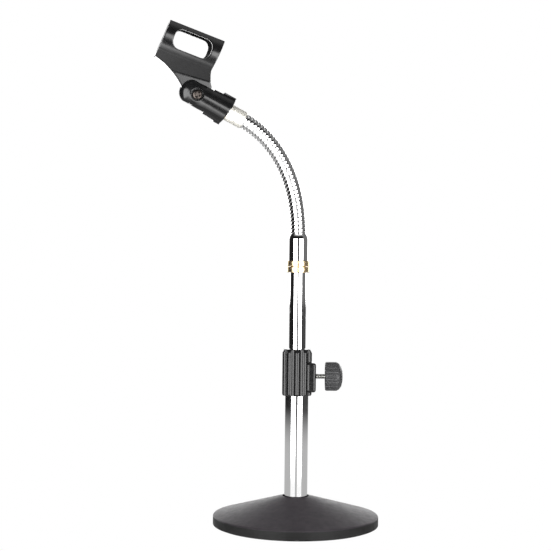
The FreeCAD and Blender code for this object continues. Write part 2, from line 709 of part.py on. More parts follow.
def clip_body():
    body = clip_barrel().fuse(clip_keel()).fuse(slab(web_face(), LUG_THICKNESS / 2))
    body = body.cut(along_barrel(rod(BARREL_BORE, BARREL_LEFT - 3 * OVER, BARREL_RIGHT + 3 * OVER)))
    relief_left = WINDOW_LEFT + OVER / 2
    body = body.cut(along_barrel(rod(BARREL_BORE + BARREL_RELIEF, relief_left, WINDOW_RIGHT - OVER / 2)))
    body = body.cut(beyond_end(BARREL_LEFT, LEFT_SLOPE, -1))
    window = block(WINDOW_LEFT, WINDOW_RIGHT, -2 * BARREL_R, 2 * BARREL_R, WINDOW_BOTTOM, WINDOW_TOP)
    corners = [edge for edge in window.Edges if edge.BoundBox.YLength > 1]
    body = body.cut(window.makeFillet(WINDOW_CORNER, corners))
    return body.cut(to_y(rod(PIVOT_SCREW_R + RUN_GAP, -BARREL_R, BARREL_R)))


def main():
    save("base_casting", base_casting())
    save("foot_ring", foot_ring())
    save("base_washer", base_washer())
    save("base_bolt", base_bolt())
    save("tube_plug", tube_plug())
    save("lower_tube", lower_tube())
    save("clutch_housing", clutch_housing())
    save("clutch_bush", clutch_bush())
    save("clutch_nut", clutch_nut())
    save("clamp_pad", clamp_pad())
    save("clamp_screw", clamp_screw())
    save("clamp_knob", clamp_knob())
    save("glide_bush", glide_bush())
    save("upper_tube", upper_tube())
    save("tube_end_cap", tube_end_cap())
    save("stop_ring", stop_ring())
    save("top_stud", top_stud())
    save("lock_ring", lock_ring())
    save("lower_ferrule", lower_ferrule())
    save("neck_wire_00", neck_root(core=False))
    save("neck_core_00", neck_root(core=True))
    for number in range(1, NECK_JOINTS):
        save(f"neck_wire_{number:02d}", neck_link(number, core=False))
        save(f"neck_core_{number:02d}", neck_link(number, core=True))
    save(f"neck_wire_{NECK_JOINTS:02d}", neck_tip(core=False))
    save(f"neck_core_{NECK_JOINTS:02d}", neck_tip(core=True))
    save("upper_ferrule", upper_ferrule())
    save("upper_stud", upper_stud())
    save("swivel_base", swivel_frame(swivel_base()))
    save("thread_insert", swivel_frame(thread_insert()))
    save("pivot_screw", swivel_frame(pivot_screw()))
    save("pivot_nut", swivel_frame(pivot_nut()))
    save("pivot_washers", swivel_frame(pivot_washers()))
    save("clip_body", clip_frame(clip_body()))


main()
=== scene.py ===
import json
import math

import bmesh
import bpy
import numpy as np
from mathutils import Matrix, Vector

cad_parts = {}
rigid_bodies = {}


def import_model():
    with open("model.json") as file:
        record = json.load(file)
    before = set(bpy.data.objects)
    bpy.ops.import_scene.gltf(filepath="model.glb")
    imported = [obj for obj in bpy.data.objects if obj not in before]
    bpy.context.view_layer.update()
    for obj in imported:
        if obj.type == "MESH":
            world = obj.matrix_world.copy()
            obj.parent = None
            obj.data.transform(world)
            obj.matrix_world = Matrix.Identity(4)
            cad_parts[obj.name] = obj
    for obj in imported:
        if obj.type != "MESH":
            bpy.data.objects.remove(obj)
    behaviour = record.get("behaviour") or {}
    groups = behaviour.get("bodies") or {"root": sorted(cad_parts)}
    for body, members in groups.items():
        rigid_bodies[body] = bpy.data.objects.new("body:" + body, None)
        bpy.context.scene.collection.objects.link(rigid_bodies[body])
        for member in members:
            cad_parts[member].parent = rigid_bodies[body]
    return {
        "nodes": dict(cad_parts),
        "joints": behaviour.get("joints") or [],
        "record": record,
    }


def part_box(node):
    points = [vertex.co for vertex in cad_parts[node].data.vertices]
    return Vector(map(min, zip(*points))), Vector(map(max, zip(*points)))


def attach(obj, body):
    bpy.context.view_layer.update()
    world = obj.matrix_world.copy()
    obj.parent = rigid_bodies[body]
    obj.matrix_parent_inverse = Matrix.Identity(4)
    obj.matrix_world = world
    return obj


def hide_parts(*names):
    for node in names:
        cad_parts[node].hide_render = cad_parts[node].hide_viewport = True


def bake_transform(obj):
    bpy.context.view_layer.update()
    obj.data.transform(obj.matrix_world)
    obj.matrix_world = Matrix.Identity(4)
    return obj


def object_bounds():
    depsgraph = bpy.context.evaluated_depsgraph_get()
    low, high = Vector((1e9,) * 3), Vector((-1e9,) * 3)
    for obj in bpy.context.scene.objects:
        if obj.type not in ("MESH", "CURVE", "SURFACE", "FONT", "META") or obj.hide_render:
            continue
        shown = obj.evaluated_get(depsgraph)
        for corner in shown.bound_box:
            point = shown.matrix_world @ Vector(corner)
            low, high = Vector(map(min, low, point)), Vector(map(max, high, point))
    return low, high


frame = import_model()
cad_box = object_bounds()

# Desk microphone stand. Shapes are drawn in millimetres in the frame of their own part,
# then placed in the stand's frame in metres.

MM = 0.001
SEGMENTS = 192
ARC_STEP = 12                        # degrees between the points of a fillet
FILLET_SHARE = 0.48                  # of a side, the most that one fillet takes
SHARP_ANGLE = math.radians(40)
DENSE_MESH = 60000                   # faces; a denser mesh needs no weighted normals
nodes = frame["nodes"]
joints = {joint["name"]: joint for joint in frame["joints"]}
mounts = {mount["name"]: mount for mount in frame["record"]["mounts"]}
slot_of = {part["node"]: part["material_slot"] for part in frame["record"]["subparts"]}


# ---- frames: where each group of parts sits

def placed(origin, x_axis, y_axis):
    """Matrix from a part's own frame, in millimetres, to the stand's frame, in metres."""
    z_axis = x_axis.cross(y_axis)
    turn = Matrix((x_axis, y_axis, z_axis)).transposed().to_4x4()
    return Matrix.Translation(origin) @ turn @ Matrix.Scale(MM, 4)


UP = Vector((0, 0, 1))
STAND = Matrix.Scale(MM, 4)
pivot = Vector(joints["clip_tilt"]["pos_m"])
tip_axis = Vector(joints["clip_swivel"]["axis"]).normalized()
tilt_axis = Vector(joints["clip_tilt"]["axis"]).normalized()
grip_axis = Vector(mounts["mic_grip"]["axis"]).normalized()
neck_side = tip_axis.cross(UP).normalized()
clamp_centre = Vector((0, 0, joints["clamp_turn"]["pos_m"][2]))

CLAMP = placed(clamp_centre, -UP, Vector((0, 1, 0)))
HEAD = placed(pivot, neck_side.cross(tip_axis), neck_side)
SWIVEL = placed(pivot, tilt_axis.cross(tip_axis), tilt_axis)
CLIP = placed(pivot, -grip_axis, tilt_axis)


def heights(node):
    """Lowest and highest Z of a CAD node, in millimetres."""
    low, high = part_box(node)
    return low.z / MM, high.z / MM


def ramp(value, low, high):
    """Share of the way from low to high, held between 0 and 1."""
    return min(1, max(0, (value - low) / (high - low)))


# ---- mesh helpers

def new_object(name, points, faces):
    mesh = bpy.data.meshes.new(name)
    mesh.from_pydata([tuple(point) for point in points], [], faces)
    work = bmesh.new()
    work.from_mesh(mesh)
    bmesh.ops.recalc_face_normals(work, faces=work.faces)
    work.to_mesh(mesh)
    work.free()
    piece = bpy.data.objects.new(name, mesh)
    bpy.context.scene.collection.objects.link(piece)
    return piece


def skin(name, rings, loop=False):
    """Mesh over rings of points; a ring of one point is a tip, and loop joins the last ring to the first."""
    points = [point for ring in rings for point in ring]
    starts = np.cumsum([0] + [len(ring) for ring in rings])
    pairs = list(zip(range(len(rings) - 1), range(1, len(rings))))
    if loop:
        pairs.append((len(rings) - 1, 0))
    faces = []
    for below, above in pairs:
        count = max(len(rings[below]), len(rings[above]))
        for k in range(count):
            after = (k + 1) % count
            if len(rings[below]) == 1:
                faces.append((starts[below], starts[above] + k, starts[above] + after))
            elif len(rings[above]) == 1:
                faces.append((starts[below] + k, starts[below] + after, starts[above]))
            else:
                faces.append((starts[below] + k, starts[below] + after,
                              starts[above] + after, starts[above] + k))
    return new_object(name, points, faces)


def rounded(corners, closed):
    """Outline through (radius, height, fillet) corners, with each fillet drawn as an arc."""
    count = len(corners)
    outline = []
    for k, (radius, height, fillet) in enumerate(corners):
        here = Vector((radius, height))
        if fillet == 0 or (not closed and k in (0, count - 1)):
            outline.append(tuple(here))
            continue
        before = Vector(corners[k - 1][:2]) - here
        after = Vector(corners[(k + 1) % count][:2]) - here
        half = before.angle(after) / 2
        reach = min(fillet / math.tan(half), FILLET_SHARE * before.length, FILLET_SHARE * after.length)
        size = reach * math.tan(half)
        start = here + before.normalized() * reach
        end = here + after.normalized() * reach
        centre = here + (before.normalized() + after.normalized()).normalized() * (size / math.sin(half))
        steps = max(3, round(math.degrees(math.pi - 2 * half) / ARC_STEP))
        for step in range(steps + 1):
            share = step / steps
            spoke = (start - centre).lerp(end - centre, share)
            outline.append(tuple(centre + spoke.normalized() * size))
    return outline


def turned(name, corners, shape=None, segments=SEGMENTS):
    """Solid of revolution about Z from (radius, height, fillet) corners; it closes on the axis or in a loop.
    shape(radius, height, angle) may change a point's radius."""
    on_axis = corners[0][0] == 0
    rings = []
    for radius, height in rounded(corners, closed=not on_axis):
        if radius < 1e-6:
            rings.append([(0, 0, height)])
            continue
        ring = []
        for k in range(segments):
            angle = 2 * math.pi * k / segments
            reach = shape(radius, height, angle) if shape else radius
            ring.append((reach * math.cos(angle), reach * math.sin(angle), height))
        rings.append(ring)
    return skin(name, rings, loop=not on_axis)


def box_piece(name, low, high):
    """Rectangular block between two corners."""
    (x0, y0, z0), (x1, y1, z1) = low, high
    points = [(x0, y0, z0), (x1, y0, z0), (x1, y1, z0), (x0, y1, z0),
              (x0, y0, z1), (x1, y0, z1), (x1, y1, z1), (x0, y1, z1)]
    faces = [(0, 1, 2, 3), (4, 5, 6, 7), (0, 1, 5, 4), (1, 2, 6, 5), (2, 3, 7, 6), (3, 0, 4, 7)]
    return new_object(name, points, faces)


def applied(piece):
    """Turn the piece's modifiers into mesh."""
    graph = bpy.context.evaluated_depsgraph_get()
    mesh = bpy.data.meshes.new_from_object(piece.evaluated_get(graph))
    piece.modifiers.clear()
    piece.data = mesh
    return piece


def combine(piece, tool, operation):
    """Boolean with a helper solid, which is then removed."""
    change = piece.modifiers.new("combine", "BOOLEAN")
    change.operation = operation
    change.solver = "EXACT"
    change.object = tool
    applied(piece)
    bpy.data.objects.remove(tool)
    return piece


def moulded(piece, voxel, passes):
    """Give a hard-edged solid the small rounded edges of a moulding."""
    remesh = piece.modifiers.new("remesh", "REMESH")
    remesh.mode = "VOXEL"
    remesh.voxel_size = voxel
    smooth = piece.modifiers.new("smooth", "SMOOTH")
    smooth.factor = 0.5
    smooth.iterations = passes
    return applied(piece)


def copy_of(name, node, place):
    """A CAD node's solid as a new piece, in its own frame in millimetres."""
    mesh = nodes[node].data.copy()
    mesh.materials.clear()
    mesh.transform(place.inverted())
    piece = bpy.data.objects.new(name, mesh)
    bpy.context.scene.collection.objects.link(piece)
    work = bmesh.new()
    work.from_mesh(mesh)
    bmesh.ops.remove_doubles(work, verts=work.verts, dist=0.001)
    work.to_mesh(mesh)
    work.free()
    return piece


def finished(piece, place, slot, replaced, body=None):
    """Place a piece in the stand, shade it, give it its material and say which CAD nodes it stands for."""
    piece.data.transform(place)
    piece.data.shade_smooth()
    piece.data.set_sharp_from_angle(angle=SHARP_ANGLE)
    piece.data.materials.clear()
    piece.data.materials.append(materials[slot])
    if len(piece.data.polygons) < DENSE_MESH:
        normals = piece.modifiers.new("normals", "WEIGHTED_NORMAL")
        normals.keep_sharp = True
    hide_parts(*replaced)
    if body:
        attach(piece, body)
    return piece


# ---- materials

class Finish:
    """A Principled material and short ways to add procedural detail to it; sizes are in millimetres."""

    def __init__(self, name, colour, metallic, roughness):
        self.material = bpy.data.materials.new(name)
        self.material.use_nodes = True
        self.tree = self.material.node_tree
        self.shader = self.tree.nodes["Principled BSDF"]
        self.shader.inputs["Base Color"].default_value = (*colour, 1)
        self.shader.inputs["Metallic"].default_value = metallic
        self.shader.inputs["Roughness"].default_value = roughness
        self.place = self.tree.nodes.new("ShaderNodeTexCoord").outputs["Object"]
        self.height = None

    def node(self, kind, inputs, **settings):
        made = self.tree.nodes.new(kind)
        for key, value in settings.items():
            setattr(made, key, value)
        for key, value in inputs.items():
            if isinstance(value, bpy.types.NodeSocket):
                self.tree.links.new(value, made.inputs[key])
            else:
                made.inputs[key].default_value = value
        return made

    def stretched(self, stretch):
        """Coordinates stretched along the axes, for drawn or turned marks."""
        return self.node("ShaderNodeMapping", {"Vector": self.place, "Scale": stretch}).outputs["Vector"]

    def noise(self, size, detail=3.0, stretch=None):
        """Noise between about 0 and 1 whose features are this many millimetres across."""
        where = self.stretched(stretch) if stretch else self.place
        made = self.node("ShaderNodeTexNoise", {"Vector": where, "Scale": 1 / (size * MM), "Detail": detail})
        return made.outputs["Fac"]

    def specks(self, spacing, radius):
        """Value that is 1 in small round specks about this far apart, and 0 elsewhere."""
        cells = self.node("ShaderNodeTexVoronoi", {"Vector": self.place, "Scale": 1 / (spacing * MM)})
        return self.spread(cells.outputs["Distance"], radius / spacing, 0.6 * radius / spacing, 0, 1)

    def spread(self, value, low, high, to_low, to_high):
        """Map a value's range onto another one, clamped."""
        made = self.node("ShaderNodeMapRange", {"Value": value, "From Min": low, "From Max": high,
                                                "To Min": to_low, "To Max": to_high})
        return made.outputs["Result"]

    def mixed(self, share, first, second):
        """Colour between two colours."""
        made = self.node("ShaderNodeMix", {}, data_type="RGBA")
        for key, value in (("Factor_Float", share), ("A_Color", first), ("B_Color", second)):
            socket = next(item for item in made.inputs if item.identifier == key)
            if isinstance(value, bpy.types.NodeSocket):
                self.tree.links.new(value, socket)
            else:
                socket.default_value = value if key == "Factor_Float" else (*value, 1)
        return next(item for item in made.outputs if item.identifier == "Result_Color")

    def times(self, first, second, operation="MULTIPLY"):
        made = self.node("ShaderNodeMath", {0: first, 1: second}, operation=operation)
        return made.outputs[0]

    def set(self, name, value):
        self.tree.links.new(value, self.shader.inputs[name])

    def relief(self, height, depth):
        """Bump whose full height is this many millimetres."""
        bump = self.node("ShaderNodeBump", {"Height": height, "Strength": 1.0, "Distance": depth * MM})
        if self.height:
            self.tree.links.new(self.height, bump.inputs["Normal"])
        self.height = bump.outputs["Normal"]
        self.set("Normal", self.height)

    def edges(self, low, high):
        """Value that rises towards 1 on outward edges."""
        geometry = self.node("ShaderNodeNewGeometry", {})
        return self.spread(geometry.outputs["Pointiness"], low, high, 0, 1)


RIM_TOP = 10.1
# top of the band at the foot that is darkened as painted shade
RIM_PAINTED_SHADE_TOP = 9.8
RUBBED_DEPTH = 2.0


def base_paint():
    """Satin black paint with a fine stipple, a little dust, painted shade that darkens the band at its foot,
    and paler rubbed edges along that band.
    """
    made = Finish("base_paint", (0.05, 0.046, 0.052), 0.0, 0.5)
    patches = made.noise(14, 4)
    grain = made.noise(0.55, 2)
    colour = made.mixed(made.spread(patches, 0.35, 0.7, 0, 1), (0.048, 0.041, 0.048), (0.058, 0.05, 0.058))
    height = made.node("ShaderNodeSeparateXYZ", {"Vector": made.place}).outputs["Z"]
    # painted shade: below this height the paint goes almost black, standing in for the shade on the side band
    # at the foot
    painted_shade_band = made.spread(height, RIM_PAINTED_SHADE_TOP * MM, (RIM_PAINTED_SHADE_TOP - 1) * MM, 0, 1)
    colour = made.mixed(painted_shade_band, colour, (0.011, 0.011, 0.011))
    near_rim = made.spread(height, (RIM_TOP + RUBBED_DEPTH) * MM, RIM_TOP * MM, 0, 0.5)
    rubbed = made.times(made.edges(0.53, 0.6), near_rim)
    colour = made.mixed(rubbed, colour, (0.11, 0.105, 0.11))
    colour = made.mixed(made.times(made.specks(2.6, 0.16), 0.35), colour, (0.2, 0.2, 0.2))
    made.set("Base Color", colour)
    made.set("Roughness", made.spread(made.noise(5, 5), 0.3, 0.7, 0.44, 0.56))
    made.shader.inputs["Specular IOR Level"].default_value = 0.25
    made.relief(grain, 0.035)
    made.relief(made.noise(2.2, 2), 0.03)
    return made.material


def rubber():
    """Matt black rubber with a fine mottled skin."""
    made = Finish("foot_rubber", (0.02, 0.02, 0.02), 0.0, 0.85)
    made.set("Base Color", made.mixed(made.noise(3, 4), (0.014, 0.014, 0.014), (0.03, 0.03, 0.03)))
    made.relief(made.noise(0.3, 3), 0.05)
    return made.material


def plated(name, colour, roughness, streak):
    """Plated steel with faint directional marks and cloudy roughness."""
    made = Finish(name, colour, 1.0, roughness)
    clouds = made.noise(4, 5)
    darker = tuple(0.72 * channel for channel in colour)
    made.set("Base Color", made.mixed(made.spread(clouds, 0.35, 0.7, 0, 0.8), colour, darker))
    made.set("Roughness", made.spread(made.noise(1.2, 4, streak), 0.3, 0.7, 0.75 * roughness, 1.35 * roughness))
    made.relief(made.noise(0.5, 3, streak), 0.006)
    return made.material


def chrome(name, colour, roughness, haze):
    """Bright chrome plate with fingerprints, fine draw lines and a few pits."""
    made = Finish(name, colour, 1.0, roughness)
    smudge = made.spread(made.noise(9, 6), 0.48, 0.68, 0, 1)
    lines = made.noise(0.6, 2, (1, 1, 0.04))
    pits = made.specks(19, 0.45)
    made.set("Base Color", made.mixed(made.times(pits, 0.7), colour, (0.35, 0.35, 0.34)))
    rough = made.times(made.times(smudge, haze), made.spread(lines, 0.3, 0.7, 0.6, 1.3))
    made.set("Roughness", made.times(rough, roughness, "ADD"))
    made.relief(lines, 0.0008)
    made.relief(pits, 0.01)
    return made.material


def brass():
    """Lacquered turned brass: fine tool rings and a slightly darker tarnish in patches."""
    made = Finish("brass", (0.9, 0.7, 0.4), 1.0, 0.26)
    rings = made.noise(0.35, 2, (0.02, 0.02, 1))
    patches = made.spread(made.noise(3, 5), 0.45, 0.7, 0, 0.7)
    made.set("Base Color", made.mixed(patches, (0.93, 0.74, 0.45), (0.78, 0.56, 0.3)))
    made.set("Roughness", made.spread(rings, 0.3, 0.7, 0.2, 0.34))
    made.relief(rings, 0.004)
    return made.material


def plastic(name, colour, roughness, grain):
    """Satin moulded plastic: spark-eroded grain, slow flow marks and paler rubbed edges."""
    made = Finish(name, colour, 0.0, roughness)
    flow = made.noise(11, 4)
    paler = tuple(1.5 * channel + 0.001 for channel in colour)
    body = made.mixed(made.spread(flow, 0.35, 0.7, 0, 0.7), colour, paler)
    rubbed = tuple(3 * channel + 0.004 for channel in colour)
    body = made.mixed(made.times(made.edges(0.54, 0.66), 0.35), body, rubbed)
    made.set("Base Color", body)
    made.shader.inputs["Specular IOR Level"].default_value = 0.36
    made.set("Roughness", made.spread(made.noise(3.5, 5), 0.3, 0.7, roughness - 0.03, roughness + 0.05))
    made.relief(made.noise(grain, 2), 0.012)
    return made.material


def nylon():
    """Natural nylon: milky, slightly waxy."""
    made = Finish("nylon", (0.75, 0.74, 0.7), 0.0, 0.5)
    made.set("Base Color", made.mixed(made.noise(4, 3), (0.7, 0.69, 0.64), (0.8, 0.79, 0.75)))
    made.set("Roughness", made.spread(made.noise(1.5, 3), 0.3, 0.7, 0.42, 0.56))
    made.relief(made.noise(0.4, 2), 0.01)
    return made.material


materials = {
    "base_paint": base_paint(),
    "foot_rubber": rubber(),
    "steel": plated("steel", (0.62, 0.62, 0.6), 0.3, (1, 1, 0.1)),
    "chrome": chrome("chrome", (0.9, 0.9, 0.9), 0.05, 0.08),
    "black_plastic": plastic("black_plastic", (0.006, 0.006, 0.0062), 0.2, 0.35),
    "knob_plastic": plastic("knob_plastic", (0.032, 0.032, 0.033), 0.34, 0.3),
    "nylon": nylon(),
    "brass": brass(),
    "coil_chrome": chrome("coil_chrome", (0.88, 0.88, 0.88), 0.07, 0.1),
    "spring_steel": plated("spring_steel", (0.4, 0.4, 0.4), 0.28, (1, 1, 1)),
    "nickel": plated("nickel", (0.98, 0.96, 0.89), 0.48, (1, 1, 0.1)),
    "screw_metal": plated("screw_metal", (0.05, 0.043, 0.039), 0.3, (1, 1, 1)),
    "clip_plastic": plastic("clip_plastic", (0.004, 0.004, 0.0042), 0.16, 0.45),
}


# ---- base

BASE_HOLE_R = 5.25
HUB_R = 17.0
HUB_BOTTOM = 12.0
CAVITY_R = 66.0
RIB_COUNT = 6
RIB_HALF = 2
RIB_BOTTOM = 5
SKIN = 6.0
TUBE_FLOOR = 17.0
FOOT_INNER_R = 69.0
FOOT_OUTER_R = 77.0
FOOT_TOP = 3.0
FOOT_GROOVES = (71.0, 73.0, 75.0)
GROOVE_DEPTH = 0.4
LIP_R = 13.6
LIP_HOLE_R = 12.9
LIP_DEPTH = 6.0
APEX_SINK = 1.5
LOWER_TUBE_R = 11.1
BOLT_R = 5
BOLT_FLATS = 17
WASHER_R = 12
WASHER_THICK = 2


def make_base():
    base_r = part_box("base_casting")[1].x / MM
    bottom, apex = heights("base_casting")
    apex -= APEX_SINK
    slope = (apex - RIM_TOP) / (base_r - LIP_R)

    def under_cone(radius):
        return apex - slope * (radius - LIP_R) - SKIN

    corners = [(BASE_HOLE_R, HUB_BOTTOM, 0.4), (HUB_R, HUB_BOTTOM, 1.0), (HUB_R, under_cone(HUB_R), 2.0),
               (CAVITY_R, under_cone(CAVITY_R), 2.0), (CAVITY_R, bottom, 0.4), (FOOT_INNER_R, bottom, 0.3),
               (FOOT_INNER_R, FOOT_TOP, 0), (FOOT_OUTER_R, FOOT_TOP, 0), (FOOT_OUTER_R, bottom, 0.3),
               (base_r, bottom, 1.0), (base_r, RIM_TOP, 1.6), (LIP_R, apex, 0.45), (LIP_HOLE_R, apex, 0.3),
               (LIP_HOLE_R, apex - LIP_DEPTH, 0.2), (LOWER_TUBE_R, apex - LIP_DEPTH, 0),
               (LOWER_TUBE_R, TUBE_FLOOR, 0), (BASE_HOLE_R, TUBE_FLOOR, 0.2)]
    casting = turned("base_shell", corners, segments=256)
    for k in range(RIB_COUNT):
        rib = box_piece("rib", (HUB_R - 2, -RIB_HALF, RIB_BOTTOM),
                        (CAVITY_R + 1.5, RIB_HALF, under_cone(CAVITY_R) + 1))
        rib_top = [vertex for vertex in rib.data.vertices if vertex.co.z > RIB_BOTTOM + 1]
        for vertex in rib_top:
            vertex.co.z = under_cone(vertex.co.x) + 1
        rib.data.transform(Matrix.Rotation(2 * math.pi / RIB_COUNT * k, 4, "Z"))
        combine(casting, rib, "UNION")
    finished(casting, STAND, "base_paint", ["base_casting"], "stand")

    grooves = []
    for radius in FOOT_GROOVES:
        grooves += [(radius - 0.45, 0, 0.1), (radius - 0.2, GROOVE_DEPTH, 0.1),
                    (radius + 0.2, GROOVE_DEPTH, 0.1), (radius + 0.45, 0, 0.1)]
    foot = turned("foot_tread", [(FOOT_INNER_R, 0, 0.5), *grooves, (FOOT_OUTER_R, 0, 0.5),
                                 (FOOT_OUTER_R, FOOT_TOP, 0.2), (FOOT_INNER_R, FOOT_TOP, 0.2)])
    finished(foot, STAND, "foot_rubber", ["foot_ring"], "stand")
    low = HUB_BOTTOM - WASHER_THICK
    washer = turned("base_bolt_washer", [(BASE_HOLE_R, low, 0.2), (WASHER_R, low, 0.5),
                                         (WASHER_R, HUB_BOTTOM, 0.2), (BASE_HOLE_R, HUB_BOTTOM, 0.2)])
    finished(washer, STAND, "steel", ["base_washer"], "stand")


def hexagonal(across_flats):
    """Shape that trims a turned blank to a hexagon; a bore or a shank inside it stays round."""
    def shape(radius, height, angle):
        off_flat = (angle + math.pi / 6) % (math.pi / 3) - math.pi / 6
        return min(radius, across_flats / 2 / math.cos(off_flat)) if radius > 0.4 * across_flats else radius
    return shape


def make_base_bolt():
    bottom, top = heights("base_bolt")
    head_top = HUB_BOTTOM - WASHER_THICK
    corner_r = BOLT_FLATS / math.sqrt(3)
    bolt = turned("base_centre_bolt", [(0, bottom, 0), (7.6, bottom, 0.4), (corner_r, bottom + 1.3, 0.2),
                                       (corner_r, head_top, 0.1), (BOLT_R, head_top, 0.2), (BOLT_R, top, 0.8),
                                       (0, top, 0)],
                  hexagonal(BOLT_FLATS), segments=240)
    finished(bolt, STAND, "steel", ["base_bolt"], "stand")


# ---- tubes

UPPER_TUBE_R = 7.95
LOWER_BORE_R = 9.9
UPPER_BORE_R = 6.75
PAD_HOLE_R = 3.5
RING_GROOVE = (12, 13.2)
RING_GROOVE_R = UPPER_TUBE_R - 0.6


def make_tubes():
    bottom, top = heights("lower_tube")
    lower = turned("lower_mast_tube", [(LOWER_BORE_R, bottom, 0.2), (LOWER_TUBE_R, bottom, 0.4),
                                       (LOWER_TUBE_R, top, 0.5), (LOWER_BORE_R, top, 0.3)])
    hole = turned("hole", [(0, 0, 0), (PAD_HOLE_R, 0, 0), (PAD_HOLE_R, 20, 0), (0, 20, 0)], segments=48)
    hole.data.transform(STAND.inverted() @ CLAMP)
    combine(lower, hole, "DIFFERENCE")
    finished(lower, STAND, "chrome", ["lower_tube"], "stand")
    bottom, top = heights("upper_tube")
    groove_low, groove_high = (bottom + rise for rise in RING_GROOVE)
    upper = turned("upper_mast_tube", [(UPPER_BORE_R, bottom, 0.2), (UPPER_TUBE_R, bottom, 0.3),
                                       (UPPER_TUBE_R, groove_low, 0), (RING_GROOVE_R, groove_low, 0),
                                       (RING_GROOVE_R, groove_high, 0), (UPPER_TUBE_R, groove_high, 0),
                                       (UPPER_TUBE_R, top, 0.3), (UPPER_BORE_R, top, 0.2)])
    finished(upper, STAND, "chrome", ["upper_tube"], "mast")


# ---- clutch, clamp screw and knob

CLUTCH_LOBES = 10
LOBE_R = 3.0
LOBE_CENTRE_R = 11.8
LOBE_ROOT_R = 12.4
GUIDE_R = UPPER_TUBE_R + 0.2
GUIDE_HEIGHT = 5
BOSS_LOW = (9.5, -10.85, 129.7)
BOSS_HIGH = (18.1, 10.85, 158.1)
BOSS_EDGE = 2.2
SCREW_HOLE_R = 2.75
NUT_POCKET = (5, 16.3)
NUT_FLATS = 8.1
KNOB_R = 13.9
KNOB_FLUTES = 20
KNOB_SHOULDER = 39.9
FLUTE_R = 1.35
FLUTE_OUTSIDE = 0.85                 # how far a flute's centre lies outside the grip
FLUTE_RUN_OUT = 2.0
SOCKET_DEPTH = 11
CLAMP_SCREW_R = 2.5
THREAD_PITCH = 0.8
THREAD_SIDES = 64
THREAD_STEPS = 10                    # rings of points in one pitch
THREAD_CHAMFER = 0.6


def lobed(radius, height, angle):
    """Outside of the clutch: round lobes with deep grooves between, trimmed by the blank's own radius."""
    if radius < LOBE_ROOT_R:
        return radius
    step = 2 * math.pi / CLUTCH_LOBES
    off = angle % step - step / 2
    inside = LOBE_R ** 2 - (LOBE_CENTRE_R * math.sin(off)) ** 2
    lobe = LOBE_CENTRE_R * math.cos(off) + math.sqrt(max(inside, 0))
    return min(radius, max(lobe, LOBE_ROOT_R))


def make_clutch():
    bottom, top = heights("clutch_housing")
    crest = LOBE_CENTRE_R + LOBE_R
    seat = top - GUIDE_HEIGHT
    body = turned("clutch_body", [(LOWER_TUBE_R, bottom, 0.1), (crest - 0.9, bottom, 0.2),
                                  (crest, bottom + 1.4, 0.8), (crest, top - 3.3, 0.8), (crest - 1.8, top, 0.7),
                                  (GUIDE_R, top, 0.4), (GUIDE_R, seat, 0), (LOWER_TUBE_R, seat, 0)],
                  lobed, segments=360)
    boss = box_piece("boss", BOSS_LOW, BOSS_HIGH)
    bevel = boss.modifiers.new("bevel", "BEVEL")
    bevel.width = BOSS_EDGE
    bevel.segments = 6
    applied(boss)
    combine(body, boss, "UNION")
    bore = turned("bore", [(0, bottom - 1, 0), (LOWER_TUBE_R, bottom - 1, 0), (LOWER_TUBE_R, seat, 0),
                           (0, seat, 0)])
    combine(body, bore, "DIFFERENCE")
    hole = turned("hole", [(0, 0, 0), (SCREW_HOLE_R, 0, 0), (SCREW_HOLE_R, 30, 0), (0, 30, 0)], segments=64)
    hole.data.transform(STAND.inverted() @ CLAMP)
    combine(body, hole, "DIFFERENCE")
    low, high = NUT_POCKET
    pocket = turned("pocket", [(0, low, 0), (4.7, low, 0), (4.7, high, 0), (0, high, 0)],
                    hexagonal(NUT_FLATS), segments=48)
    pocket.data.transform(STAND.inverted() @ CLAMP)
    combine(body, pocket, "DIFFERENCE")
    moulded(body, 0.28, 7)
    finished(body, STAND, "black_plastic", ["clutch_housing"], "stand")


def fluted(radius, height, angle):
    """Knob grip: shallow round flutes that run out under the shoulder."""
    if radius < 12:
        return radius
    step = 2 * math.pi / KNOB_FLUTES
    across = radius * ((angle + step / 2) % step - step / 2)
    depth = math.sqrt(max(FLUTE_R ** 2 - across ** 2, 0)) - FLUTE_OUTSIDE
    return radius - max(depth, 0) * ramp(KNOB_SHOULDER - height, 0, FLUTE_RUN_OUT)


def threaded(name, radius, low, high, pitch, depth):
    """Rod about Z with a helical thread, flat on its crests and roots, and chamfered ends."""
    count = round((high - low) / pitch * THREAD_STEPS)
    rings = [[(0, 0, low)]]
    for k in range(count + 1):
        height = low + (high - low) * k / count
        limit = radius - max(0, THREAD_CHAMFER - (height - low), THREAD_CHAMFER - (high - height))
        ring = []
        for j in range(THREAD_SIDES):
            share = (height / pitch - j / THREAD_SIDES) % 1
            valley = min(1, max(0, (1 - abs(2 * share - 1)) * 1.3 - 0.15))
            angle = 2 * math.pi * j / THREAD_SIDES
            reach = min(limit, radius - depth * valley)
            ring.append((reach * math.cos(angle), reach * math.sin(angle), height))
        rings.append(ring)
    rings.append([(0, 0, high)])
    return skin(name, rings)


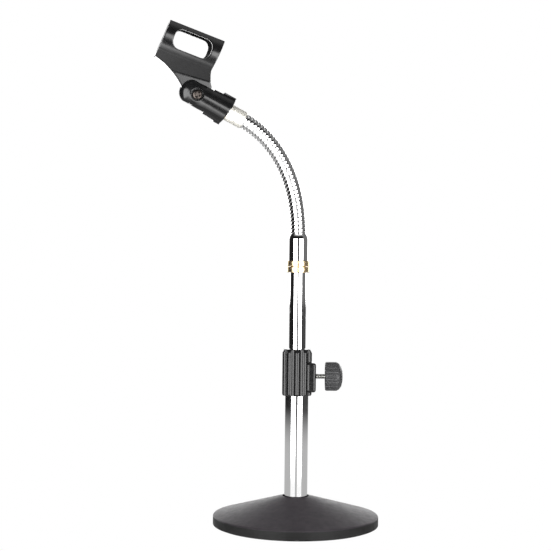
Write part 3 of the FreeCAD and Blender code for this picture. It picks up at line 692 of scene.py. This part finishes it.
def make_clamp():
    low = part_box("clamp_knob")[0].x / MM
    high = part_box("clamp_knob")[1].x / MM
    socket = low + SOCKET_DEPTH
    corners = [(0, socket, 0), (CLAMP_SCREW_R, socket, 0), (CLAMP_SCREW_R, low, 0.2), (5.6, low, 0.4),
               (6.4, low + 0.9, 0.4), (11.4, low + 0.9, 0.4), (12.2, low, 0.4), (KNOB_R - 0.7, low, 0.5),
               (KNOB_R, low + 0.9, 0.6)]
    corners += [(KNOB_R, low + 0.9 + share * 9.5, 0) for share in (0.3, 0.6, 0.85)]
    corners += [(KNOB_R, low + 10.9, 1.6), (KNOB_R - 1.4, low + 13.5, 1.8), (9.4, low + 15.6, 3.0),
                (5, high - 0.3, 4.0), (0, high, 0)]
    knob = turned("clamp_hand_knob", corners, fluted, segments=360)
    finished(knob, CLAMP, "knob_plastic", ["clamp_knob"], "knob")
    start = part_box("clamp_screw")[0].x / MM
    screw = threaded("clamp_thread", CLAMP_SCREW_R, start, socket - 0.05, THREAD_PITCH, 0.45)
    finished(screw, CLAMP, "steel", ["clamp_screw"], "knob")


# ---- collars and ferrules

COLLAR_R = 10.7
COLLAR_HEIGHT = 5.3
COLLAR_PAIR = 11                     # both collars, with the small gap between them
STUD_R = 7.9
STUD_THREAD = 11
STUD_PITCH = 0.94
CLIP_STUD_LENGTH = 13
FERRULE_R = 9.85
NECK_R = 7.35
NECK_SOCKET = 12
HEAD_FERRULE_R = 8.45
HEAD_BORE_R = 6.9
SHANK_R = 6.85
COIL_END = -51.4
HEAD_SOCKET_TOP = COIL_END + 8
HEAD_WALL_TOP = COIL_END + 10
HEAD_FERRULE_END = -30.5


def make_collars():
    low, high = heights("top_stud")
    collar = high - STUD_THREAD - COLLAR_PAIR
    collar_top = collar + COLLAR_HEIGHT
    lower = turned("brass_stud", [(0, low, 0), (UPPER_BORE_R, low, 0.5), (UPPER_BORE_R, collar, 0),
                                  (COLLAR_R, collar, 0.55), (COLLAR_R, collar_top, 0.55),
                                  (STUD_R, collar_top, 0.1), (STUD_R, high, 0.6), (0, high, 0)])
    finished(lower, STAND, "brass", ["top_stud"], "mast")
    low, high = heights("lock_ring")
    upper = turned("brass_lock_ring", [(STUD_R, low, 0.2), (COLLAR_R, low, 0.55), (COLLAR_R, high, 0.55),
                                       (STUD_R, high, 0.2)])
    finished(upper, STAND, "brass", ["lock_ring"], "mast")
    low, high = heights("lower_ferrule")
    ferrule = turned("neck_lower_ferrule",
                     [(0, low + STUD_THREAD, 0), (STUD_R, low + STUD_THREAD, 0), (STUD_R, low, 0.2),
                      (FERRULE_R, low, 0.4), (FERRULE_R, high - 4.5, 1.5), (FERRULE_R - 0.7, high - 2.0, 1.5),
                      (FERRULE_R - 1.9, high, 0.5), (NECK_R, high, 0.15), (NECK_R, high - NECK_SOCKET, 0),
                      (0, high - NECK_SOCKET, 0)])
    finished(ferrule, STAND, "chrome", ["lower_ferrule"], "mast")


def make_upper_ferrule():
    ferrule = turned("neck_upper_ferrule",
                     [(0, HEAD_SOCKET_TOP, 0), (NECK_R, HEAD_SOCKET_TOP, 0), (NECK_R, COIL_END, 0.1),
                      (HEAD_FERRULE_R - 0.4, COIL_END, 0.3), (HEAD_FERRULE_R, COIL_END + 0.9, 0.5),
                      (HEAD_FERRULE_R, HEAD_FERRULE_END, 0.35), (HEAD_BORE_R, HEAD_FERRULE_END, 0),
                      (HEAD_BORE_R, HEAD_WALL_TOP, 0), (0, HEAD_WALL_TOP, 0)])
    finished(ferrule, HEAD, "nickel", ["upper_ferrule"], "neck_head")
    stud = threaded("clip_stud_thread", STUD_R, HEAD_FERRULE_END, HEAD_FERRULE_END + CLIP_STUD_LENGTH,
                    STUD_PITCH, 0.5)
    shank = turned("shank", [(0, HEAD_WALL_TOP, 0), (SHANK_R, HEAD_WALL_TOP, 0),
                             (SHANK_R, HEAD_FERRULE_END + 1, 0), (0, HEAD_FERRULE_END + 1, 0)], segments=96)
    combine(stud, shank, "UNION")
    finished(stud, HEAD, "chrome", ["upper_stud"], "neck_head")


# ---- gooseneck: an outer crowned wire and a round spring wire inside it, wound together

COIL_PITCH = 3.76
WIRE_WIDTH = 3.4
CROWN_R = 7.0
SHOULDER_R = 0.45
SPRING_WIRE_R = 1.15
SPRING_CENTRE_R = 5.15
STEPS_PER_TURN = 56
ROOT_DEPTHS = (-18.0, -11.0, -4.5)   # where the centreline is fixed inside the lower ferrule
TIP_DEPTHS = (1.0, 8.0, 15.0)        # and inside the upper one
LAST_REACH = 0.45                    # of a link, beyond the last joint


def neck_chain():
    """The neck's joints in order from the mast to the head."""
    bends = [joint for joint in frame["joints"] if joint["name"].startswith("neck_")]
    by_parent = {joint["parent"]: joint for joint in bends}
    chain = []
    body = "mast"
    while body in by_parent:
        chain.append(by_parent[body])
        body = by_parent[body]["child"]
    return chain


class Centreline:
    """Smooth line, in millimetres, through the neck's joints, straight in both ferrules."""

    def __init__(self, points):
        self.points = np.array(points)
        spans = np.linalg.norm(np.diff(self.points, axis=0), axis=1)
        self.distances = np.concatenate([[0], np.cumsum(spans)])
        self.slopes = np.gradient(self.points, self.distances, axis=0, edge_order=2)

    def at(self, distance):
        """Point and direction at a distance."""
        k = int(np.clip(np.searchsorted(self.distances, distance) - 1, 0, len(self.points) - 2))
        span = self.distances[k + 1] - self.distances[k]
        t = (distance - self.distances[k]) / span
        first, last = self.points[k], self.points[k + 1]
        out, into = self.slopes[k] * span, self.slopes[k + 1] * span
        point = ((2 * t ** 3 - 3 * t ** 2 + 1) * first + (t ** 3 - 2 * t ** 2 + t) * out
                 + (3 * t ** 2 - 2 * t ** 3) * last + (t ** 3 - t ** 2) * into)
        along = ((6 * t ** 2 - 6 * t) * first + (3 * t ** 2 - 4 * t + 1) * out
                 + (6 * t - 6 * t ** 2) * last + (3 * t ** 2 - 2 * t) * into)
        return point, along / np.linalg.norm(along)


def crowned_section():
    """Outer wire's section as (axial, radius) points: a flat wire with a low crown and round shoulders."""
    edge = math.asin((WIRE_WIDTH / 2 - SHOULDER_R) / (CROWN_R - SHOULDER_R))
    crown = [(CROWN_R * math.sin(turn), NECK_R - CROWN_R * (1 - math.cos(turn)))
             for turn in np.linspace(0, edge, 5)]
    middle = WIRE_WIDTH / 2 - SHOULDER_R
    centre = NECK_R - CROWN_R + (CROWN_R - SHOULDER_R) * math.cos(edge)
    shoulder = [(middle + SHOULDER_R * math.sin(turn), centre + SHOULDER_R * math.cos(turn))
                for turn in np.linspace(edge, math.pi / 2, 5)[1:]]
    right = crown + shoulder + [(WIRE_WIDTH / 2 - 0.15, centre - 0.35)]
    left = [(-axial, radius) for axial, radius in reversed(right[1:])]
    return left + right


def round_section():
    """Inner wire's section as (axial, radius) points, half a pitch along from the outer wire."""
    return [(COIL_PITCH / 2 + SPRING_WIRE_R * math.cos(turn),
             SPRING_CENTRE_R + SPRING_WIRE_R * math.sin(turn))
            for turn in np.linspace(0, 2 * math.pi, 12, endpoint=False)]


def wound(name, line, section, start, end):
    """Wire wound round the centreline between two distances, with its ends closed."""
    side = np.array(neck_side)
    count = max(2, round((end - start) / COIL_PITCH * STEPS_PER_TURN))
    rings = []
    for step in range(count + 1):
        distance = start + (end - start) * step / count
        turn = 2 * math.pi * distance / COIL_PITCH
        ring = []
        for axial, radius in section:
            point, along = line.at(distance + axial)
            across = np.cross(side, along)
            ring.append(point + radius * (math.cos(turn) * across + math.sin(turn) * side))
        rings.append(ring)
    rings.insert(0, [np.mean(rings[0], axis=0)])
    rings.append([np.mean(rings[-1], axis=0)])
    return skin(name, rings)


def make_neck():
    chain = neck_chain()
    centres = [Vector(joint["pos_m"]) / MM for joint in chain]
    ferrule_top = heights("lower_ferrule")[1]
    tip = [pivot / MM + tip_axis * (COIL_END + depth) for depth in TIP_DEPTHS]
    root = [Vector((0, 0, ferrule_top + depth)) for depth in ROOT_DEPTHS]
    line = Centreline(root + centres + tip)
    first = len(root)
    stations = line.distances[first:first + len(centres)]
    link = np.diff(stations).mean()
    kinds = (("wire", "neck_wire", crowned_section(), "coil_chrome"),
             ("spring", "neck_core", round_section(), "spring_steel"))
    for kind, node, section, slot in kinds:
        bottom = wound(f"gooseneck_{kind}_00", line, section, line.distances[1], stations[0] - link / 2)
        finished(bottom, STAND, slot, [f"{node}_00"], "mast")
        for k, joint in enumerate(chain):
            last = k == len(chain) - 1
            piece = wound(f"gooseneck_{kind}_{k + 1:02d}", line, section, stations[k] - link / 2,
                          stations[k] + (LAST_REACH * link if last else link / 2))
            finished(piece, STAND, slot, [] if last else [f"{node}_{k + 1:02d}"])
            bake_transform(piece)
        top = wound(f"gooseneck_{kind}_{len(chain) + 1:02d}", line, section,
                    stations[-1] + LAST_REACH * link, line.distances[-2] - 1.5)
        finished(top, STAND, slot, [f"{node}_{len(chain):02d}"], "neck_head")


# ---- swivel base and clip

CLIP_LEFT = -48.8
CLIP_CENTRE = 39.1
CLIP_LEFT_SLOPE = math.radians(3.6)
CLIP_LEFT_YAW = math.radians(-5)
NOSE_GROWTH = 0.13
NOSE_FADE = (8.5, 11.5)              # distances from the pivot over which the growth sets in
NOSE_RISE = (-12, 8)                 # and heights above it
END_SLANT = 0.13
END_RUN = (16, 28)                   # depths below the pivot over which the slant sets in
INSERT_R = 10.4
INSERT_BORE_R = 7.95
INSERT_RELIEF_R = 8.6
INSERT_LOW = -33.1
INSERT_TOP = -16.5
INSERT_STEP = -29.9
PIVOT_R = 2.45
SCREW_HEAD_R = 4.8
SCREW_HEAD_Y = -11.9
SCREW_END_Y = 11.6
COUNTERBORE_Y = -9.4
RECESS_HALF = (3.6, 1.2)
RECESS_DEPTH = 1.9
RECESS_TAPER = (0.55, 0.75)
PIVOT_NUT_Y = (8.2, 11.4)
PIVOT_NUT_FLATS = 8.0


def lying(piece):
    """Lay a piece built along Z along +Y."""
    piece.data.transform(Matrix.Rotation(-math.pi / 2, 4, "X"))
    return piece


def fuller(piece):
    """Fill out the swivel's round nose and slant its threaded end, away from its holes."""
    for vertex in piece.data.vertices:
        across, along = vertex.co.x, vertex.co.z
        share = ramp(math.hypot(across, along), *NOSE_FADE) * ramp(along, *NOSE_RISE)
        vertex.co.x *= 1 + NOSE_GROWTH * share
        vertex.co.z *= 1 + NOSE_GROWTH * share
        vertex.co.z -= END_SLANT * across * ramp(-along, *END_RUN)
    return piece


def make_swivel():
    body = copy_of("swivel_body", "swivel_base", SWIVEL)
    moulded(body, 0.3, 8)
    fuller(body)
    finished(body, SWIVEL, "clip_plastic", ["swivel_base"], "swivel")
    insert = turned("swivel_thread_insert",
                    [(INSERT_RELIEF_R, INSERT_LOW, 0.2), (INSERT_R, INSERT_LOW, 0.25),
                     (INSERT_R, INSERT_TOP, 0.2), (INSERT_BORE_R, INSERT_TOP, 0),
                     (INSERT_BORE_R, INSERT_STEP, 0), (INSERT_RELIEF_R, INSERT_STEP, 0)], segments=128)
    finished(insert, SWIVEL, "brass", ["thread_insert"], "swivel")
    screw = turned("screw_head", [(0, SCREW_HEAD_Y, 0), (2.6, SCREW_HEAD_Y + 0.1, 1.5),
                                  (4.2, SCREW_HEAD_Y + 0.7, 0.8), (SCREW_HEAD_R, SCREW_HEAD_Y + 1.7, 0.4),
                                  (SCREW_HEAD_R, COUNTERBORE_Y, 0.1), (PIVOT_R, COUNTERBORE_Y, 0),
                                  (PIVOT_R, SCREW_END_Y, 0.4), (0, SCREW_END_Y, 0)], segments=96)
    length, width = RECESS_HALF
    for turn in (0, math.pi / 2):
        slot = box_piece("slot", (-length, -width, SCREW_HEAD_Y - 1),
                         (length, width, SCREW_HEAD_Y + RECESS_DEPTH))
        for vertex in slot.data.vertices:
            if vertex.co.z > SCREW_HEAD_Y:
                vertex.co.x *= RECESS_TAPER[0]
                vertex.co.y *= RECESS_TAPER[1]
        slot.data.transform(Matrix.Rotation(turn, 4, "Z"))
        combine(screw, slot, "DIFFERENCE")
    moulded(screw, 0.1, 3)
    screw.name = "pivot_pan_screw"
    finished(lying(screw), SWIVEL, "screw_metal", ["pivot_screw"], "swivel")
    low, high = PIVOT_NUT_Y
    nut = turned("pivot_hex_nut", [(2.5, low, 0.1), (4.7, low, 0.1), (4.7, high - 0.5, 0.2), (4.0, high, 0.2),
                                   (2.5, high, 0.2)],
                 hexagonal(PIVOT_NUT_FLATS), segments=120)
    finished(lying(nut), SWIVEL, "steel", ["pivot_nut"], "swivel")


def make_clip():
    body = copy_of("clip_shell", "clip_body", CLIP)
    beyond = box_piece("beyond", (-40, -60, -60), (0, 60, 60))
    slant = Matrix.Rotation(CLIP_LEFT_YAW, 4, "Z") @ Matrix.Rotation(CLIP_LEFT_SLOPE, 4, "Y")
    beyond.data.transform(Matrix.Translation((CLIP_LEFT, 0, CLIP_CENTRE)) @ slant)
    combine(body, beyond, "DIFFERENCE")
    moulded(body, 0.34, 12)
    finished(body, CLIP, "clip_plastic", ["clip_body"], "clip")


make_base()
make_base_bolt()
make_tubes()
make_clutch()
make_clamp()
make_collars()
make_upper_ferrule()
make_neck()
make_swivel()
make_clip()

for name, node in nodes.items():
    node.data.materials.clear()
    node.data.materials.append(materials[slot_of[name]])


# ---- floor, light and camera

# Directions are degrees: aside from straight ahead of the stand to either side, azimuth to the right,
# elevation up. Reaches are metres along the floor from the mast.
FLOOR_HALF = 6.0
FLOOR_DROP = 0.0002
FLOOR_LIGHT = 0.5
FLOOR_FADE = (0.5, 1.15)
FLOOR_RIGHT_LIGHT = 0.045
FRONT_PANEL = (8, 56)
FRONT_LIGHT = 1.05
BRIGHT_PANEL = (14, 54)
BRIGHT_REACH = (0.25, 0.6)
PANEL_FADE = 4
PANEL_HEIGHT = (-70, 14)
PANEL_LIGHT = 8.5
WALL_ASIDE = (118, 150)
WALL_HEIGHT = (-90, 24)
WALL_LIGHT = 3.2
CEILING_FROM = (45, 75)
CEILING_LIGHT = 0.9
RIGHT_CARD = (58, 118)
RIGHT_LIGHT = 0.16
FILL_LIGHT = 0.015
FOCAL_LENGTH = 88.2
SENSOR = 36.0
CAMERA_PLACE = Vector((-0.0218, -1.306, 0.2577))
CAMERA_PITCH = 0.7
CAMERA_ROLL = 0.6


class Shade:
    """Short ways to build a light's strength out of soft steps of direction."""

    def __init__(self, tree, vector):
        self.tree = tree
        split = tree.nodes.new("ShaderNodeSeparateXYZ")
        tree.links.new(vector, split.inputs[0])
        self.x, self.y, self.z = split.outputs
        toward = self.math("MULTIPLY", self.y, -1.0)
        self.azimuth = self.math("MULTIPLY", self.math("ARCTAN2", self.x, toward), 180 / math.pi)
        self.aside = self.math("ABSOLUTE", self.azimuth)

    def math(self, operation, first, second=0.0):
        made = self.tree.nodes.new("ShaderNodeMath")
        made.operation = operation
        for socket, value in zip(made.inputs, (first, second)):
            if isinstance(value, bpy.types.NodeSocket):
                self.tree.links.new(value, socket)
            else:
                socket.default_value = value
        return made.outputs[0]

    def total(self, *parts):
        """Sum of several strengths."""
        result = parts[0]
        for part in parts[1:]:
            result = self.math("ADD", result, part)
        return result

    def step(self, value, low, high):
        """Soft step from 0 at low to 1 at high."""
        made = self.tree.nodes.new("ShaderNodeMapRange")
        made.interpolation_type = "SMOOTHSTEP"
        self.tree.links.new(value, made.inputs["Value"])
        made.inputs["From Min"].default_value = low
        made.inputs["From Max"].default_value = high
        return made.outputs["Result"]

    def band(self, value, low, high, soft):
        """Value that is 1 between low and high, with soft edges of this width."""
        rise = self.step(value, low - soft / 2, low + soft / 2)
        fall = self.step(value, high - soft / 2, high + soft / 2)
        return self.math("SUBTRACT", rise, fall)

    def front_panels(self):
        """The two lights in front, to the left and right: their brighter middles and their plain whole."""
        middle = self.band(self.aside, *BRIGHT_PANEL, PANEL_FADE)
        whole = self.band(self.aside, *FRONT_PANEL, PANEL_FADE)
        return (self.math("MULTIPLY", middle, PANEL_LIGHT - FRONT_LIGHT),
                self.math("MULTIPLY", whole, FRONT_LIGHT))

    def white_background(self, strength):
        """The given strength as light, while the floor and the room themselves are seen plain white."""
        seen = self.tree.nodes.new("ShaderNodeLightPath").outputs["Is Camera Ray"]
        mix = self.tree.nodes.new("ShaderNodeMix")
        mix.data_type = "FLOAT"
        self.tree.links.new(seen, mix.inputs[0])
        self.tree.links.new(strength, mix.inputs[2])
        mix.inputs[3].default_value = 1.0
        return mix.outputs[0]


def make_floor():
    bpy.ops.mesh.primitive_plane_add(size=2 * FLOOR_HALF, location=(0, 0, cad_box[0].z - FLOOR_DROP))
    floor = bpy.context.object
    floor.name = "floor"
    made = Finish("floor", (0.0, 0.0, 0.0), 0.0, 1.0)
    made.shader.inputs["Specular IOR Level"].default_value = 0.0
    made.shader.inputs["Emission Color"].default_value = (1, 1, 1, 1)
    shade = Shade(made.tree, made.place)
    reach = shade.math("SQRT", shade.math("ADD", shade.math("MULTIPLY", shade.x, shade.x),
                                          shade.math("MULTIPLY", shade.y, shade.y)))
    whole, gone = FLOOR_FADE
    near = shade.step(shade.math("MULTIPLY", reach, -1.0), -gone, -whole)
    near = shade.math("MULTIPLY", near, FLOOR_LIGHT)
    bright, plain = shade.front_panels()
    front = shade.total(shade.math("MULTIPLY", bright, shade.step(reach, *BRIGHT_REACH)), plain)
    fill = shade.math("MULTIPLY", shade.step(shade.azimuth, -5, 5), FLOOR_RIGHT_LIGHT)
    fill = shade.total(fill, FILL_LIGHT)
    strength = shade.white_background(shade.math("MAXIMUM", shade.math("MAXIMUM", near, front), fill))
    made.tree.links.new(strength, made.shader.inputs["Emission Strength"])
    floor.data.materials.append(made.material)


def make_light():
    world = bpy.data.worlds.new("studio")
    bpy.context.scene.world = world
    world.use_nodes = True
    background = world.node_tree.nodes["Background"]
    direction = world.node_tree.nodes.new("ShaderNodeTexCoord").outputs["Generated"]
    sky = Shade(world.node_tree, direction)
    elevation = sky.math("MULTIPLY", sky.math("ARCSINE", sky.z), 180 / math.pi)
    panels = sky.math("MULTIPLY", sky.total(*sky.front_panels()), sky.band(elevation, *PANEL_HEIGHT, 8))
    wall = sky.math("MULTIPLY", sky.step(sky.aside, *WALL_ASIDE), sky.band(elevation, *WALL_HEIGHT, 24))
    wall = sky.math("MULTIPLY", wall, WALL_LIGHT)
    ceiling = sky.math("MULTIPLY", sky.step(elevation, *CEILING_FROM), CEILING_LIGHT)
    right = sky.math("MULTIPLY", sky.band(sky.azimuth, *RIGHT_CARD, 6), RIGHT_LIGHT)
    strength = sky.white_background(sky.total(panels, wall, ceiling, right, FILL_LIGHT))
    background.inputs["Color"].default_value = (1, 1, 1, 1)
    world.node_tree.links.new(strength, background.inputs["Strength"])


def make_camera():
    camera = bpy.data.objects.new("camera", bpy.data.cameras.new("camera"))
    camera.data.lens = FOCAL_LENGTH
    camera.data.sensor_width = SENSOR
    tilt = Matrix.Rotation(math.radians(90 - CAMERA_PITCH), 4, "X")
    roll = Matrix.Rotation(math.radians(CAMERA_ROLL), 4, "Z")
    camera.matrix_world = Matrix.Translation(CAMERA_PLACE) @ tilt @ roll
    bpy.context.scene.collection.objects.link(camera)
    bpy.context.scene.camera = camera


make_floor()
make_light()
make_camera()
bpy.context.scene.view_settings.view_transform = "Standard"
